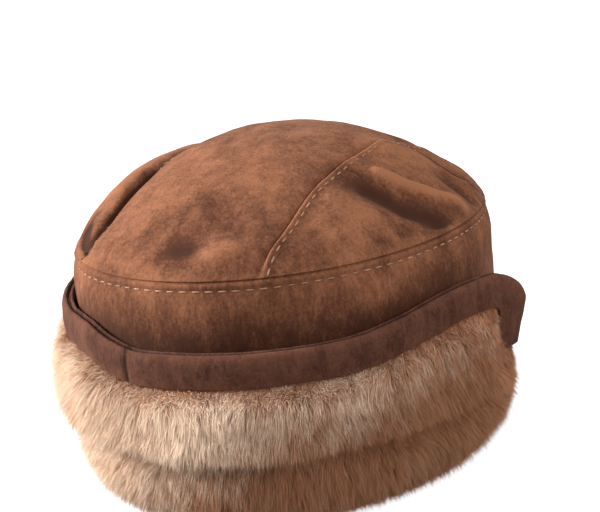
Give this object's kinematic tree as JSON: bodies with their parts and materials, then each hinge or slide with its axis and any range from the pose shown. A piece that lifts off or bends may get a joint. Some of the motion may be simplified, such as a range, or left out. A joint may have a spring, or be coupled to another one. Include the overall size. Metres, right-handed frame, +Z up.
{
  "type": "suede winter hat with a turned-up fur flap",
  "caption": "Suede cap with a panelled dome, an upright band, a rolled fur hem and a fur flap turned up round the back and sides, bound with a suede strip along its edge.",
  "frame": {"origin": "middle of the hat's footprint, on the surface that it rests on", "axes": "+Z up through the crown, +Y to the back of the hat, -Y to its front, -X to the wearer's right"},
  "size_m": [0.2192, 0.2376, 0.149],
  "materials": {
    "suede": "napped, matt",
    "binding_suede": "napped, matt",
    "fur": "deep sheared fur"
  },
  "bodies": {
    "root": {"crown_middle_panel": "suede", "crown_left_panel": "suede", "crown_right_panel": "suede", "crown_band": "suede", "flap_binding": "binding_suede", "flap_fur": "fur", "hem_fur": "fur"}
  },
  "joints": []
}
